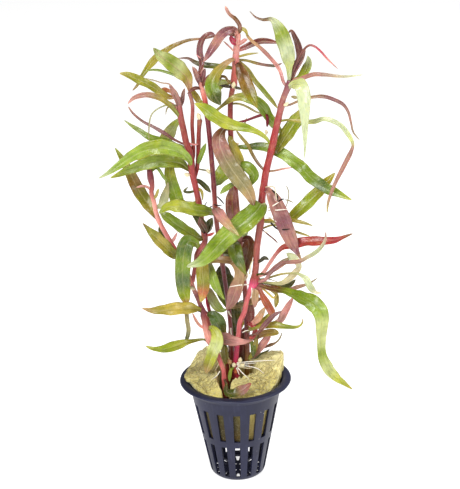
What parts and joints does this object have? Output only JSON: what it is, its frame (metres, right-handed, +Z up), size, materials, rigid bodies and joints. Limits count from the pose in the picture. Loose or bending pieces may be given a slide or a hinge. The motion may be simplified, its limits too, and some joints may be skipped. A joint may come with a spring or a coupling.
{
  "type": "potted aquarium stem plant",
  "caption": "Red and green aquarium stem plant with narrow arching leaves, growing from rock wool in a slotted net pot.",
  "frame": {"origin": "middle of the pot's flat base, on the surface that it stands on", "axes": "+Z up along the pot's axis, -Y towards the side that the picture shows, +X to that side's right"},
  "size_m": [0.1204, 0.0728, 0.2352],
  "materials": {
    "pot_plastic": "moulded, slightly rough, faint sheen",
    "rock_wool": "soaked mineral fibre, matt",
    "stem_pink": "smooth, fleshy, satin",
    "stem_red": "smooth, fleshy, satin",
    "leaf_green": "wet, satin, fine veins",
    "leaf_pale": "wet, satin, fine veins",
    "leaf_olive": "wet, satin, fine veins",
    "leaf_bronze": "wet, satin, fine veins",
    "leaf_rose": "wet, satin, fine veins",
    "leaf_red": "wet, satin, fine veins"
  },
  "bodies": {
    "root": {"leaf_back_left_broad": "leaf_green", "leaf_back_left_low": "leaf_olive", "leaf_back_low": "leaf_green", "leaf_back_middle_broad": "leaf_green", "leaf_back_middle_upright": "leaf_green", "leaf_back_right_small": "leaf_olive", "leaf_crown_pink": "leaf_rose", "leaf_crown_purple": "leaf_red", "leaf_front_bright_green": "leaf_green", "leaf_front_hanging_broad": "leaf_olive", "leaf_front_hanging_narrow": "leaf_olive", "leaf_front_salmon": "leaf_rose", "leaf_left_broad_green": "leaf_green", "leaf_left_low_olive": "leaf_olive", "leaf_left_lower_green": "leaf_green", "leaf_left_middle_green": "leaf_green", "leaf_left_rising_olive": "leaf_olive", "leaf_left_upper_olive": "leaf_olive", "leaf_left_upright_olive": "leaf_olive", "leaf_left_yellow_green": "leaf_green", "leaf_low_dark_green": "leaf_green", "leaf_low_front_lime": "leaf_green", "leaf_low_left_lime": "leaf_green", "leaf_low_left_yellow": "leaf_pale", "leaf_low_mauve": "leaf_rose", "leaf_low_right_olive": "leaf_olive", "leaf_low_rust": "leaf_bronze", "leaf_middle_brown_grey": "leaf_bronze", "leaf_middle_dark": "leaf_green", "leaf_middle_green": "leaf_green", "leaf_middle_hanging_green": "leaf_green", "leaf_middle_tan_arch": "leaf_bronze", "leaf_on_wool": "leaf_rose", "leaf_right_arching": "leaf_green", "leaf_right_broad_green": "leaf_green", "leaf_right_brown_arch": "leaf_bronze", "leaf_right_crimson": "leaf_red", "leaf_right_hooked": "leaf_olive", "leaf_right_pale_curl": "leaf_pale", "leaf_right_pale_hanging": "leaf_pale", "leaf_right_pink_hanging": "leaf_rose", "leaf_right_pink_upright": "leaf_rose", "leaf_right_rising_olive": "leaf_olive", "leaf_right_upcurved": "leaf_olive", "leaf_right_upright_green": "leaf_green", "leaf_top_arching_thin": "leaf_bronze", "leaf_top_left_pale": "leaf_pale", "leaf_top_right_pale": "leaf_green", "leaf_upper_brown_olive": "leaf_bronze", "leaf_upper_hanging_green": "leaf_green", "leaf_upper_long_olive": "leaf_olive", "leaf_upper_yellow_green": "leaf_green", "net_pot": "pot_plastic", "rock_wool": "rock_wool", "stem_center": "stem_red", "stem_left_crown": "stem_red", "stem_left_low": "stem_pink", "stem_left_side": "stem_pink", "stem_right": "stem_pink", "stem_tall": "stem_pink"}
  },
  "joints": []
}
